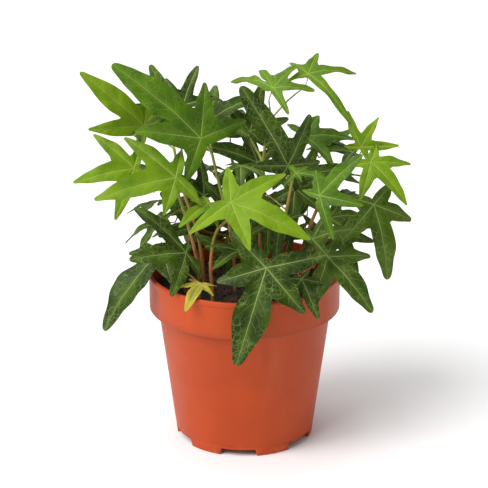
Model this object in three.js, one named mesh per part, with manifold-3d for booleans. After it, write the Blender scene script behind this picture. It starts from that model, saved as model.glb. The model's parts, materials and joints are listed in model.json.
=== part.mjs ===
// Potted ivy: a moulded nursery pot, its potting soil, twelve ivy vines and their lobed leaves.
// Millimetres, +Z up, origin at the middle of the pot's foot. The plant's own places are written
// from the middle of the rim, so the crown rises with the pot.
import * as THREE from 'three';
import { mergeVertices } from 'three/addons/utils/BufferGeometryUtils.js';
import Module from 'manifold-3d';

const wasm = await Module();
wasm.setup();

// ---------------------------------------------------------------- driving dimensions
const potHeight = 94.5;
const rimRadius = 52.5;
const rimLipHeight = 3;
const rimLipStep = 0.6;
const collarHeight = 20.5;
const shoulderRadius = 47.2;
const footRadius = 37.5;
const potWall = 1.6;
const floorLift = 6;
const floorThickness = 2;
const footNotches = 6;
const notchWidth = 19;
const notchHeight = 3.8;
const firstNotchDegrees = -95;
const centreDrainRadius = 5;
const drainRadius = 4.5;
const drainCircleRadius = 24;
const drillOver = 1;

const soilHeadspace = 9;
const soilCrown = 2.5;
const soilClearance = 0.3;
const soilDome = { flat: 0.3, brow: 0.62, browDrop: 0.3 };

const stemRadius = 1.3;
const stemTipRadius = 0.9;
const stemRootDepth = 14;
const stemLift = 1;
const stemClearance = 0.3;
const petioleRadius = 0.7;
const petioleTaper = 0.8;
const petioleNestle = 0.6;
const petioleBend = { below: 3, behind: 4, arch: 1 };
const lastLeafAlong = 0.985;
const bladeThickness = 0.6;
const bladeClearance = 0.35;

const potSegments = 48;
const stemSides = 7;
const stemSteps = 12;
const petioleSides = 5;
const petioleSteps = 7;

const rimZ = potHeight;
const soilTopZ = potHeight - soilHeadspace;
const collarZ = potHeight - collarHeight;
const degree = Math.PI / 180;

// ---------------------------------------------------------------- finishes
const finishes = {
  pot: new THREE.MeshStandardMaterial({ color: 0xc8552f, roughness: 0.55 }),
  soil: new THREE.MeshStandardMaterial({ color: 0x2b1d14, roughness: 1.0 }),
  stem: new THREE.MeshStandardMaterial({ color: 0x9a7a45, roughness: 0.7 }),
  mature: new THREE.MeshStandardMaterial({ color: 0x2f5a14, roughness: 0.5 }),
  mid: new THREE.MeshStandardMaterial({ color: 0x4c8414, roughness: 0.5 }),
  young: new THREE.MeshStandardMaterial({ color: 0x86b81e, roughness: 0.5 }),
  yellowing: new THREE.MeshStandardMaterial({ color: 0xb5b43a, roughness: 0.6 }),
};

// ---------------------------------------------------------------- solids
const toSolid = (geometry) => {
  geometry.deleteAttribute('normal');
  geometry.deleteAttribute('uv');
  const merged = mergeVertices(geometry, 1e-4);
  return new wasm.Manifold(new wasm.Mesh({
    numProp: 3,
    vertProperties: new Float32Array(merged.attributes.position.array),
    triVerts: new Uint32Array(merged.index.array),
  }));
};

const toMesh = (solid, name, finish) => {
  const cut = solid.getMesh();
  const geometry = new THREE.BufferGeometry();
  geometry.setAttribute('position', new THREE.BufferAttribute(new Float32Array(cut.vertProperties), 3));
  geometry.setIndex(new THREE.BufferAttribute(new Uint32Array(cut.triVerts), 1));
  geometry.computeVertexNormals();
  const mesh = new THREE.Mesh(geometry, finish);
  mesh.name = name;
  return mesh;
};

const turned = (profile, segments) => {
  const points = profile.map(([radius, z]) => new THREE.Vector2(radius, z));
  const geometry = new THREE.LatheGeometry(points, segments);
  geometry.rotateX(Math.PI / 2);
  return toSolid(geometry);
};

const upright = (radius, bottom, top, x, y, segments = 12) => {
  const geometry = new THREE.CylinderGeometry(radius, radius, top - bottom, segments);
  geometry.rotateX(Math.PI / 2);
  geometry.translate(x, y, (top + bottom) / 2);
  return toSolid(geometry);
};

const tube = (points, startRadius, endRadius, sides, steps) => {
  const curve = new THREE.CatmullRomCurve3(points, false, 'centripetal');
  const outline = new THREE.Shape();
  for (let side = 0; side < sides; side += 1) {
    const turn = (2 * Math.PI * side) / sides;
    const [x, y] = [startRadius * Math.cos(turn), startRadius * Math.sin(turn)];
    if (side === 0) outline.moveTo(x, y);
    else outline.lineTo(x, y);
  }
  outline.closePath();
  const geometry = new THREE.ExtrudeGeometry(outline, { steps, extrudePath: curve, bevelEnabled: false });
  const taper = endRadius / startRadius;
  const position = geometry.attributes.position;
  const centres = Array.from({ length: steps + 1 }, (_, step) => curve.getPointAt(step / steps));
  const corner = new THREE.Vector3();
  for (let i = 0; i < position.count; i += 1) {
    corner.fromBufferAttribute(position, i);
    let nearest = 0;
    centres.forEach((centre, step) => {
      if (centre.distanceToSquared(corner) < centres[nearest].distanceToSquared(corner)) nearest = step;
    });
    const shrink = 1 + (taper - 1) * (nearest / steps);
    corner.sub(centres[nearest]).multiplyScalar(shrink).add(centres[nearest]);
    position.setXYZ(i, corner.x, corner.y, corner.z);
  }
  return toSolid(geometry);
};

// ---------------------------------------------------------------- pot
const wallRadiusAt = (z) => footRadius + ((shoulderRadius - footRadius) * z) / collarZ;

const makePot = () => {
  const floorTop = floorLift + floorThickness;
  const collarInner = rimRadius - rimLipStep - potWall;
  let pot = turned([
    [0, floorLift],
    [wallRadiusAt(0) - potWall, floorLift],
    [wallRadiusAt(0) - potWall, 0],
    [wallRadiusAt(0), 0],
    [wallRadiusAt(collarZ), collarZ],
    [rimRadius - rimLipStep, collarZ],
    [rimRadius - rimLipStep, rimZ - rimLipHeight],
    [rimRadius, rimZ - rimLipHeight + rimLipStep],
    [rimRadius, rimZ - rimLipStep],
    [rimRadius - rimLipStep, rimZ],
    [collarInner, rimZ],
    [collarInner, collarZ + potWall],
    [wallRadiusAt(collarZ) - potWall, collarZ + potWall],
    [wallRadiusAt(floorTop) - potWall, floorTop],
    [0, floorTop],
  ], potSegments);
  for (let notch = 0; notch < footNotches; notch += 1) {
    const turn = (firstNotchDegrees + (360 * notch) / footNotches) * degree;
    const cutter = new THREE.BoxGeometry(footRadius, notchWidth, 2 * notchHeight);
    cutter.translate(footRadius, 0, 0);
    cutter.rotateZ(turn);
    pot = pot.subtract(toSolid(cutter));
    const [x, y] = [drainCircleRadius * Math.cos(turn), drainCircleRadius * Math.sin(turn)];
    pot = pot.subtract(upright(drainRadius, floorLift - drillOver, floorTop + drillOver, x, y));
  }
  pot = pot.subtract(upright(centreDrainRadius, floorLift - drillOver, floorTop + drillOver, 0, 0));
  return toMesh(pot, 'pot', finishes.pot);
};

// ---------------------------------------------------------------- soil
const makeSoil = () => {
  const floorTop = floorLift + floorThickness;
  const inner = (z) => wallRadiusAt(z) - potWall - soilClearance;
  const collarInner = rimRadius - rimLipStep - potWall - soilClearance;
  const ledge = collarZ + potWall + soilClearance;
  let soil = turned([
    [0, floorTop + soilClearance],
    [inner(floorTop + soilClearance), floorTop + soilClearance],
    [inner(collarZ), ledge],
    [collarInner, ledge],
    [collarInner, soilTopZ - soilCrown],
    [rimRadius * soilDome.brow, soilTopZ - soilCrown * soilDome.browDrop],
    [rimRadius * soilDome.flat, soilTopZ],
    [0, soilTopZ],
  ], potSegments);
  vines.forEach(({ foot: [x, y] }) => {
    const bottom = soilTopZ - stemRootDepth - stemClearance;
    soil = soil.subtract(upright(stemRadius + stemClearance, bottom, soilTopZ + drillOver, x, y));
  });
  return toMesh(soil, 'soil', finishes.soil);
};

// ---------------------------------------------------------------- leaves
// One ivy blade: five lobes round the leaf joint. Each lobe has a tip, a shoulder on each side and a
// sinus after it. The blade droops from the joint and each lobe is a shallow gutter along its vein.
const lobeDegrees = [-118, -57, 0, 57, 118];
const lobeWidths = [0.11, 0.13, 0.145, 0.13, 0.11];
const sinusDegrees = [-88, -29, 29, 88, 180];
const sinusReach = [0.27, 0.35, 0.35, 0.27, 0.1];
const shoulderAlong = 0.5;
const gutterRise = 0.25;
const sinusRise = 0.07;
const usualReach = 0.8;
const perLobe = 5;

const point = ([x, y, z]) => new THREE.Vector3(x, y, z + rimZ);

const bladeFrame = (leaf) => {
  const joint = point(leaf.from);
  const along = point(leaf.tip).sub(joint);
  const length = along.length();
  along.normalize();
  const up = new THREE.Vector3(...leaf.faces);
  up.addScaledVector(along, -up.dot(along)).normalize();
  const side = new THREE.Vector3().crossVectors(along, up);
  return { joint, along, up, side, length };
};

const makeBlade = (leaf) => {
  const { joint, along, up, side, length } = bladeFrame(leaf);
  const [lowRight, right, left, lowLeft] = leaf.lobes ?? [0.5, 0.8, 0.8, 0.5];
  const lobeLengths = [lowLeft, left, 1, right, lowRight];
  const [turnLowRight, turnRight, turnLeft, turnLowLeft] = leaf.swing ?? [0, 0, 0, 0];
  const lobeTurns = [-turnLowLeft, -turnLeft, 0, turnRight, turnLowRight];
  const broad = leaf.broad ?? 1;
  const droop = leaf.droop ?? 0.25;
  const place = (u, v, rise, below) => {
    const lift = droop * (u - u * u - v * v) + rise;
    return joint.clone()
      .addScaledVector(along, u * length)
      .addScaledVector(side, v * length)
      .addScaledVector(up, lift * length - (below ? bladeThickness : 0));
  };
  const vertices = [];
  const faces = [];
  const addLayer = (below) => {
    const first = vertices.length;
    vertices.push(place(0, 0, 0, below));
    lobeDegrees.forEach((degrees, lobe) => {
      const reach = lobeLengths[lobe];
      const width = broad * lobeWidths[lobe] * Math.sqrt(reach);
      const heading = (degrees + lobeTurns[lobe]) * degree;
      const [c, s] = [Math.cos(heading), Math.sin(heading)];
      const inLobe = (t, w, rise) => place(t * c - w * s, t * s + w * c, rise, below);
      vertices.push(inLobe(shoulderAlong * reach, 0, 0));
      vertices.push(inLobe(shoulderAlong * reach, -width, gutterRise * width));
      vertices.push(inLobe(reach, 0, 0));
      vertices.push(inLobe(shoulderAlong * reach, width, gutterRise * width));
      const neighbour = lobeLengths[(lobe + 1) % lobeDegrees.length];
      const sinus = sinusReach[lobe] * Math.sqrt(Math.min(reach, neighbour) / usualReach);
      const turnAfter = lobe + 1 < lobeTurns.length ? lobeTurns[lobe + 1] : 0;
      const turnHere = lobe + 1 < lobeTurns.length ? lobeTurns[lobe] : 0;
      const turn = (sinusDegrees[lobe] + (turnHere + turnAfter) / 2) * degree;
      vertices.push(place(sinus * Math.cos(turn), sinus * Math.sin(turn), sinusRise * sinus, below));
    });
    return first;
  };
  const top = addLayer(false);
  const bottom = addLayer(true);
  const count = lobeDegrees.length;
  const margin = [];
  for (let lobe = 0; lobe < count; lobe += 1) {
    const base = 1 + perLobe * lobe;
    const sinusBefore = perLobe * ((lobe + count - 1) % count) + perLobe;
    const [vein, shoulderA, tip, shoulderB, sinusAfter] = [base, base + 1, base + 2, base + 3, base + 4];
    const fan = [
      [0, sinusBefore, vein], [sinusBefore, shoulderA, vein], [shoulderA, tip, vein],
      [tip, shoulderB, vein], [shoulderB, sinusAfter, vein], [sinusAfter, 0, vein],
    ];
    fan.forEach(([a, b, c]) => {
      faces.push([top + b, top + a, top + c]);
      faces.push([bottom + a, bottom + b, bottom + c]);
    });
    margin.push(shoulderA, tip, shoulderB, sinusAfter);
  }
  margin.forEach((a, i) => {
    const b = margin[(i + 1) % margin.length];
    faces.push([top + a, bottom + b, bottom + a]);
    faces.push([top + a, top + b, bottom + b]);
  });
  const geometry = new THREE.BufferGeometry();
  const numbers = vertices.flatMap((vertex) => vertex.toArray());
  geometry.setAttribute('position', new THREE.Float32BufferAttribute(numbers, 3));
  geometry.setIndex(faces.flat());
  geometry.computeVertexNormals();
  const mesh = new THREE.Mesh(geometry, finishes[leaf.age]);
  mesh.name = leaf.node;
  return mesh;
};

// ---------------------------------------------------------------- how the plant is laid out
// Each vine has a foot in the soil, a path above it, and its leaves. A leaf row gives the place of its
// joint and of its middle tip, the way its upper face looks, how far up the vine its petiole starts,
// and the reach of its other four lobes as shares of the middle one, from low right round to low left.
// A row may also turn its lobes (swing, in degrees), widen them (broad) and say how far it droops.
const overRim = (degrees, out, z) => {
  const turn = degrees * degree;
  return [(rimRadius + out) * Math.cos(turn), (rimRadius + out) * Math.sin(turn), z + bladeThickness];
};

const vines = [
  {
    node: 'vine_front_left',
    foot: [-24, -14],
    path: [[-25, -15, 8], [-30, -14, 30], [-35, -16, 48]],
    leaves: [
      { age: 'young', at: 1, from: [-36, -24, 60], tip: [-78, -34, 51], faces: [0, -0.8, 0.6],
        lobes: [0.4, 0.8, 0.5, 0.45] },
      { age: 'young', at: 0.7, from: [-19, -22, 45], tip: [-34, -40, 38], faces: [0, -0.6, 0.8],
        lobes: [0.3, 0.4, 0.7, 1.1], swing: [0, 0, 0, 30] },
    ],
  },
  {
    node: 'vine_front',
    foot: [-17, -20],
    path: [[-18, -19, 10], [-15, -19, 28], [-8, -24, 37]],
    leaves: [
      { age: 'young', at: 1, from: overRim(-102, -18, 49), tip: overRim(-52, 3, 32), faces: [0, -0.7, 0.7],
        lobes: [0.58, 0.63, 0.75, 0.5], swing: [0, -12, 0, 0] },
      { age: 'mature', at: 0.3, from: [-3, -26, 20], tip: [-16, -44, 17], faces: [0, -0.5, 0.8] },
    ],
  },
  {
    node: 'vine_left',
    foot: [-22, 6],
    path: [[-26, 8, 20], [-34, 8, 45], [-38, 10, 66]],
    leaves: [
      { age: 'young', at: 1, from: [-54, 14, 77], tip: [-87, 8, 108], faces: [0.3, -0.9, 0.2],
        lobes: [0.3, 0.45, 0.68, 0.35], swing: [0, 0, -15, 0], broad: 0.95 },
      { age: 'young', at: 0.75, from: [-59, -2, 58], tip: [-91, -8, 52], faces: [0, -0.8, 0.6],
        lobes: [0.5, 0.9, 0.9, 0.5] },
      { age: 'mature', at: 1, from: [-40, 24, 80], tip: [-51, 32, 106], faces: [0, -0.6, 0.8] },
    ],
  },
  {
    node: 'vine_centre_left',
    foot: [-5, -2],
    path: [[-8, -1, 25], [-14, 0, 50], [-18, 2, 68]],
    leaves: [
      { age: 'mid', at: 1, from: [-23, -10, 77], tip: [-69, -6, 116], faces: [0.1, -0.8, 0.6],
        lobes: [0.5, 0.5, 0.6, 0.42], swing: [0, 0, -22, -8] },
      { age: 'mature', at: 0.95, from: [-33, 16, 88], tip: [-25, 22, 108], faces: [0, -0.6, 0.8] },
      { age: 'mature', at: 0.9, from: [-18, 24, 78], tip: [8, 34, 88], faces: [0, -0.6, 0.8] },
      { age: 'mature', at: 0.6, from: [-2, 2, 58], tip: [-2, -16, 52], faces: [0, -0.3, 0.9] },
    ],
  },
  {
    node: 'vine_centre_tall',
    foot: [8, 7],
    path: [[9, 8, 30], [10, 10, 60], [15, 10, 84]],
    leaves: [
      { age: 'mid', at: 0.95, from: [15, 6, 100], tip: [28, 22, 108], faces: [0, -0.3, 1],
        lobes: [0.8, 1.0, 0.9, 1.45], swing: [0, 0, 0, -35], broad: 0.9 },
      { age: 'young', at: 1, from: [34, 20, 104], tip: [40, 38, 111], faces: [0, -0.3, 1],
        lobes: [1.65, 1.35, 0.75, 0.8], broad: 0.85 },
      { age: 'mid', at: 0.75, from: [33, 24, 68], tip: [60, 32, 64], faces: [0, -0.5, 0.9] },
    ],
  },
  {
    node: 'vine_centre_right',
    foot: [17, -8],
    path: [[20, -7, 20], [24, -4, 44], [26, -2, 54]],
    leaves: [
      { age: 'mature', at: 1, from: [23, -4, 60], tip: [-2, -2, 103], faces: [0.3, -0.9, 0.2],
        lobes: [0.4, 0.6, 0.4, 0.3], broad: 0.9 },
      { age: 'mid', at: 1, from: [27, -14, 59], tip: [47, -15, 54], faces: [0, -0.3, 0.9],
        lobes: [0.5, 0.35, 0.5, 0.5] },
      { age: 'mature', at: 0.7, from: [5, 1, 43], tip: [3, -13, 19], faces: [0, -0.7, 0.7],
        lobes: [0.4, 0.6, 0.6, 0.4] },
      { age: 'mature', at: 0.5, from: [19, -17, 34], tip: [16, -36, 17], faces: [0, -0.4, 0.9] },
    ],
  },
  {
    node: 'vine_right',
    foot: [28, 3],
    path: [[34, 2, 20], [44, 1, 44], [54, 2, 56]],
    leaves: [
      { age: 'young', at: 1, from: [63, 14, 65], tip: [72, 16, 81], faces: [0, -0.6, 0.8],
        lobes: [0.6, 1.1, 1.2, 0.6] },
      { age: 'young', at: 1, from: [67, -4, 62], tip: [86, -16, 42], faces: [0.2, -0.6, 0.8] },
      { age: 'mature', at: 0.9, from: [59, 24, 59], tip: [39, 20, 61], faces: [0, -0.2, 1] },
      { age: 'mature', at: 0.7, from: [69, -6, 39], tip: [77, -14, -1], faces: [0.3, -0.7, 0.5],
        lobes: [0.4, 0.65, 0.6, 0.45], broad: 1.1 },
      { age: 'mid', at: 0.6, from: [39, -30, 52], tip: [61, -26, 73], faces: [0, -0.7, 0.7],
        lobes: [0.75, 0.77, 0.45, 0.35] },
      { age: 'mature', at: 0.3, from: [34, 8, 35], tip: [22, 10, 60], faces: [0.2, -0.85, 0.4],
        lobes: [0.4, 0.5, 0.6, 0.4] },
    ],
  },
  {
    node: 'vine_front_right',
    foot: [26, -20],
    path: [[30, -22, 4], [36, -22, 10]],
    leaves: [
      { age: 'mature', at: 1, from: [36, -22, 25], tip: [57, -28, 33], faces: [0, -0.6, 0.8] },
      { age: 'mature', at: 1, from: overRim(-31, -1.5, 16), tip: overRim(-31, 26, -10), faces: [0, -0.5, 0.8],
        lobes: [0.3, 0.8, 0.65, 0.3], broad: 1.2 },
      { age: 'mature', at: 0.9, from: overRim(-52, -4, 8), tip: overRim(-52, 10, -10), faces: [0, -0.7, 0.6],
        lobes: [0.3, 0.5, 0.5, 0.3] },
      { age: 'mature', at: 0.8, from: [46, 4, 28], tip: [69, 8, 27], faces: [0, -0.4, 0.9] },
      { age: 'mature', at: 0.7, from: overRim(-77, -3, 18), tip: overRim(-94, 10, -31),
        faces: [0, -0.9, 0.35],
        lobes: [0.5, 0.5, 0.58, 0.6], broad: 1.25 },
    ],
  },
  {
    node: 'vine_front_low',
    foot: [-32, -6],
    path: [[-36, -8, 3], [-40, -9, 6]],
    leaves: [
      { age: 'mature', at: 1, from: [-31, -24, 18], tip: [-60, -40, 20], faces: [0, -0.8, 0.6],
        lobes: [0.25, 1.1, 0.8, 0.5], broad: 1.2 },
      { age: 'mature', at: 1, from: overRim(-167, -8, 13), tip: overRim(-159, 28, -25),
        faces: [-0.3, -0.5, 0.7],
        lobes: [0.15, 0.4, 0.4, 0.15], droop: 0.35, broad: 1.2 },
      { age: 'yellowing', at: 0.8, from: overRim(-125, -12, 3), tip: overRim(-120, 9, -4),
        faces: [0, -0.4, 0.9],
        lobes: [0.4, 0.5, 0.5, 0.4] },
    ],
  },
  {
    node: 'vine_back',
    foot: [-1, 26],
    path: [[-2, 28, 20], [-5, 31, 40], [-8, 33, 60]],
    leaves: [
      { age: 'mature', at: 1, from: [-8, 38, 70], tip: [-22, 58, 84], faces: [0, 0.2, 1] },
      { age: 'mature', at: 0.8, from: [8, 44, 50], tip: [26, 62, 46], faces: [0.2, 0.5, 0.9] },
      { age: 'mature', at: 0.7, from: [-20, 40, 46], tip: [-44, 56, 40], faces: [-0.4, 0.6, 0.8] },
      { age: 'mature', at: 0.5, from: [-4, 40, 30], tip: [-8, 62, 14], faces: [0, 0.8, 0.6] },
      { age: 'mature', at: 0.8, from: [7, 21, 54], tip: [-25, 22, 64], faces: [0, -0.6, 0.8] },
    ],
  },
  {
    node: 'vine_back_right',
    foot: [21, 21],
    path: [[26, 24, 20], [33, 27, 40], [38, 29, 58]],
    leaves: [
      { age: 'mid', at: 1, from: [44, 34, 58], tip: [62, 46, 66], faces: [0, -0.3, 1] },
      { age: 'mature', at: 0.8, from: [44, 38, 40], tip: [72, 48, 36], faces: [0.5, 0.4, 0.8] },
      { age: 'mature', at: 0.6, from: [26, 38, 30], tip: [34, 61, 17], faces: [0.3, 0.8, 0.6] },
      { age: 'mature', at: 0.5, from: [54, 30, 32], tip: [80, 36, 20], faces: [0.8, 0.1, 0.6] },
      { age: 'mature', at: 0.3, from: overRim(70, -10, 15), tip: overRim(70, 12, -8), faces: [0.2, 0.8, 0.6],
        lobes: [0.35, 0.6, 0.6, 0.35] },
    ],
  },
  {
    node: 'vine_back_left',
    foot: [-24, 20],
    path: [[-30, 24, 14], [-38, 26, 34]],
    leaves: [
      { age: 'mature', at: 1, from: [-46, 26, 46], tip: [-74, 36, 46], faces: [-0.5, 0.3, 0.8] },
      { age: 'mature', at: 0.9, from: [-42, 36, 28], tip: [-60, 56, 12], faces: [-0.5, 0.7, 0.6] },
      { age: 'mature', at: 0.8, from: [-44, 12, 24], tip: [-66, 20, 8], faces: [-0.7, 0, 0.7] },
      { age: 'mature', at: 0.4, from: overRim(126, -8, 14), tip: overRim(117, 19, -8),
        faces: [-0.2, 0.9, 0.4] },
    ],
  },
];

// ---------------------------------------------------------------- vines
const makeVine = (vine) => {
  const [x, y] = vine.foot;
  const rooted = [
    new THREE.Vector3(x, y, soilTopZ - stemRootDepth),
    new THREE.Vector3(x, y, soilTopZ - stemRootDepth / 2),
    new THREE.Vector3(x, y, soilTopZ + stemLift),
  ];
  const route = [...rooted, ...vine.path.map(point)];
  const stem = new THREE.CatmullRomCurve3(route, false, 'centripetal');
  let solid = tube(route, stemRadius, stemTipRadius, stemSides, stemSteps);
  const rootShare = stemRootDepth / stem.getLength();
  vine.leaves.forEach((leaf) => {
    const { joint, along, up } = bladeFrame(leaf);
    const start = stem.getPointAt(Math.min(lastLeafAlong, rootShare + (1 - rootShare) * leaf.at));
    const seat = bladeThickness + bladeClearance + petioleNestle * petioleRadius;
    const end = joint.clone().addScaledVector(up, -seat);
    const approach = end.clone()
      .addScaledVector(up, -petioleBend.below)
      .addScaledVector(along, -petioleBend.behind);
    const middle = start.clone().lerp(approach, 0.5).add(new THREE.Vector3(0, 0, petioleBend.arch));
    solid = solid.add(tube([start, middle, approach, end], petioleRadius, petioleRadius * petioleTaper,
      petioleSides, petioleSteps));
  });
  return toMesh(solid, vine.node, finishes.stem);
};

// ---------------------------------------------------------------- the whole plant
const pottedIvy = new THREE.Group();
pottedIvy.add(makePot());
pottedIvy.add(makeSoil());
vines.forEach((vine) => {
  vine.leaves.forEach((leaf, i) => {
    leaf.node = `${vine.node.replace('vine', 'leaf')}_${i + 1}`;
    pottedIvy.add(makeBlade(leaf));
  });
  pottedIvy.add(makeVine(vine));
});

export default pottedIvy;
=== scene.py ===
"""Potted ivy: the looks of its pot, potting soil, vines and lobed leaves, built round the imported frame."""

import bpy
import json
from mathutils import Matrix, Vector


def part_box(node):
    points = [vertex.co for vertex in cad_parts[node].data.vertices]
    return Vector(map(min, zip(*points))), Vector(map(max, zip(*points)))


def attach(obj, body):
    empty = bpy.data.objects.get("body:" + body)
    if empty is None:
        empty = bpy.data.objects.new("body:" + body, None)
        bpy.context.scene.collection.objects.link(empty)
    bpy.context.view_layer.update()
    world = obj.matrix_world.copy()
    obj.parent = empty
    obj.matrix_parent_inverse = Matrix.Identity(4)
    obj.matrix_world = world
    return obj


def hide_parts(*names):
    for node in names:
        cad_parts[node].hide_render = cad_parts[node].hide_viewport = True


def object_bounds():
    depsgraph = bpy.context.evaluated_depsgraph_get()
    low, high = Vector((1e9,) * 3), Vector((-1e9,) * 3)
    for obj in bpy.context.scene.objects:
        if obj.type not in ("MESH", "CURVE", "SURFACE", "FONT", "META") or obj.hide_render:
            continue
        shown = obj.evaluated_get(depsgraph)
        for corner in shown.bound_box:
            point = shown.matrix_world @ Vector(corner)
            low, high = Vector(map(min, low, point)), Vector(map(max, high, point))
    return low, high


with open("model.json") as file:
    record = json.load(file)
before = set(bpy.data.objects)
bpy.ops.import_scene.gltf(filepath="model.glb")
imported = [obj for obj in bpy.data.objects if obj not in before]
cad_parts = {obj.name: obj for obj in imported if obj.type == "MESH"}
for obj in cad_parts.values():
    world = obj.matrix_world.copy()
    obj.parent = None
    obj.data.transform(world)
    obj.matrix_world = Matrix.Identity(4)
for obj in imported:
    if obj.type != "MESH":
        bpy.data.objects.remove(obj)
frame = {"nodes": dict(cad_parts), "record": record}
CAD_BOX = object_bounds()

import copy
import json
import logging
import math
import random
import zlib
from dataclasses import dataclass, field
from enum import Enum

import bmesh
import bpy
import numpy as np
from mathutils import Matrix, Vector, noise

LOG = logging.getLogger("potted_ivy")
BODY = "root"
MM = 0.001
WELD = 1e-6
FULL_TURN = 2 * math.pi

Colour = tuple[float, float, float, float]
Feed = bpy.types.NodeSocket | float | Colour


def shade(code: str) -> Colour:
    """Turns a colour written as six hex digits into linear light.

    Args:
        code: The colour as it looks on a screen, such as "c8552f".

    Returns:
        Linear red, green and blue, with an opacity of one.
    """
    parts = [int(code[i : i + 2], 16) / 255 for i in (0, 2, 4)]
    linear = [p / 12.92 if p <= 0.04045 else ((p + 0.055) / 1.055) ** 2.4 for p in parts]
    return (*linear, 1.0)


class FinishSheet:
    """A material's node tree, with short calls for the nodes that the finishes use."""

    def __init__(self, name: str) -> None:
        """Makes an empty Principled material called name."""
        self.material = bpy.data.materials.new(name)
        self.material.use_nodes = True
        self.tree = self.material.node_tree
        self.shader = self.tree.nodes["Principled BSDF"]
        self.coordinates = self.tree.nodes.new("ShaderNodeTexCoord").outputs["Object"]

    def feed(self, socket: bpy.types.NodeSocket, value: Feed) -> None:
        """Links value to socket when it is an output, and sets it there when it is a number or colour."""
        if isinstance(value, bpy.types.NodeSocket):
            self.tree.links.new(value, socket)
        else:
            socket.default_value = value

    def set(self, **values: Feed) -> None:
        """Feeds the shader's own sockets, named with underscores for spaces."""
        for name, value in values.items():
            self.feed(self.shader.inputs[name.replace("_", " ")], value)

    def math(self, operation: str, a: Feed, b: Feed = 0.0, c: Feed = 0.0) -> bpy.types.NodeSocket:
        """Adds a Math node and returns its result."""
        node = self.tree.nodes.new("ShaderNodeMath")
        node.operation = operation
        for socket, value in zip(node.inputs, (a, b, c)):
            self.feed(socket, value)
        return node.outputs[0]

    def ease(
        self, value: Feed, low: Feed, high: Feed, start: float = 0.0, end: float = 1.0
    ) -> bpy.types.NodeSocket:
        """Eases from start to end while value goes from low to high."""
        node = self.tree.nodes.new("ShaderNodeMapRange")
        node.interpolation_type = "SMOOTHSTEP"
        sockets = ("Value", "From Min", "From Max", "To Min", "To Max")
        for name, item in zip(sockets, (value, low, high, start, end)):
            self.feed(node.inputs[name], item)
        return node.outputs["Result"]

    def stretched(self, scale: tuple[float, float, float]) -> bpy.types.NodeSocket:
        """Object coordinates with each axis scaled."""
        node = self.tree.nodes.new("ShaderNodeMapping")
        node.inputs["Scale"].default_value = scale
        self.tree.links.new(self.coordinates, node.inputs["Vector"])
        return node.outputs[0]

    def noise(
        self, scale: float, detail: float = 3.0, rough: float = 0.5, at: bpy.types.NodeSocket | None = None
    ) -> bpy.types.NodeSocket:
        """Cloudy noise, from 0 to 1, on Object coordinates unless at says where."""
        node = self.tree.nodes.new("ShaderNodeTexNoise")
        node.inputs["Scale"].default_value = scale
        node.inputs["Detail"].default_value = detail
        node.inputs["Roughness"].default_value = rough
        self.tree.links.new(at or self.coordinates, node.inputs["Vector"])
        return node.outputs[0]

    def cells(
        self, scale: float, feature: str = "F1", at: bpy.types.NodeSocket | None = None
    ) -> bpy.types.NodeSocket:
        """Distance within a pattern of cells: to the middle for F1, or DISTANCE_TO_EDGE."""
        node = self.tree.nodes.new("ShaderNodeTexVoronoi")
        node.feature = feature
        node.inputs["Scale"].default_value = scale
        self.tree.links.new(at or self.coordinates, node.inputs["Vector"])
        return node.outputs["Distance"]

    def mix(self, share: Feed, first: Feed, second: Feed) -> bpy.types.NodeSocket:
        """Blends two colours by share."""
        node = self.tree.nodes.new("ShaderNodeMix")
        node.data_type = "RGBA"
        self.feed(node.inputs["Factor"], share)
        self.feed(node.inputs[6], first)
        self.feed(node.inputs[7], second)
        return node.outputs[2]

    def shaken(self, reach: float) -> bpy.types.NodeSocket:
        """Object coordinates moved about by up to reach, so that a pattern loses its straight lines."""
        cloud = self.tree.nodes.new("ShaderNodeTexNoise")
        cloud.inputs["Scale"].default_value = 420
        self.tree.links.new(self.coordinates, cloud.inputs["Vector"])
        moved = self.tree.nodes.new("ShaderNodeVectorMath")
        moved.operation = "MULTIPLY_ADD"
        self.tree.links.new(cloud.outputs["Color"], moved.inputs[0])
        moved.inputs[1].default_value = (reach, reach, reach)
        self.tree.links.new(self.coordinates, moved.inputs[2])
        return moved.outputs[0]

    def bump(
        self, height: Feed, distance: float, strength: float = 1.0, under: bpy.types.NodeSocket | None = None
    ) -> bpy.types.NodeSocket:
        """Turns height into a shading normal, on top of the normal under."""
        node = self.tree.nodes.new("ShaderNodeBump")
        node.inputs["Distance"].default_value = distance
        node.inputs["Strength"].default_value = strength
        self.feed(node.inputs["Height"], height)
        if under is not None:
            self.tree.links.new(under, node.inputs["Normal"])
        return node.outputs[0]

    def attribute(self, name: str) -> bpy.types.NodeSocket:
        """The value of the piece's own attribute called name."""
        node = self.tree.nodes.new("ShaderNodeAttribute")
        node.attribute_name = name
        return node.outputs["Fac"]

    def chart(self, name: str) -> tuple[bpy.types.NodeSocket, bpy.types.NodeSocket]:
        """The two coordinates of the piece's own UV map called name."""
        chart = self.tree.nodes.new("ShaderNodeUVMap")
        chart.uv_map = name
        split = self.tree.nodes.new("ShaderNodeSeparateXYZ")
        self.tree.links.new(chart.outputs[0], split.inputs[0])
        return split.outputs[0], split.outputs[1]

    def height(self) -> bpy.types.NodeSocket:
        """Height above the floor, in metres."""
        split = self.tree.nodes.new("ShaderNodeSeparateXYZ")
        self.tree.links.new(self.coordinates, split.inputs[0])
        return split.outputs[2]


# ---------------------------------------------------------------- finishes


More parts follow.
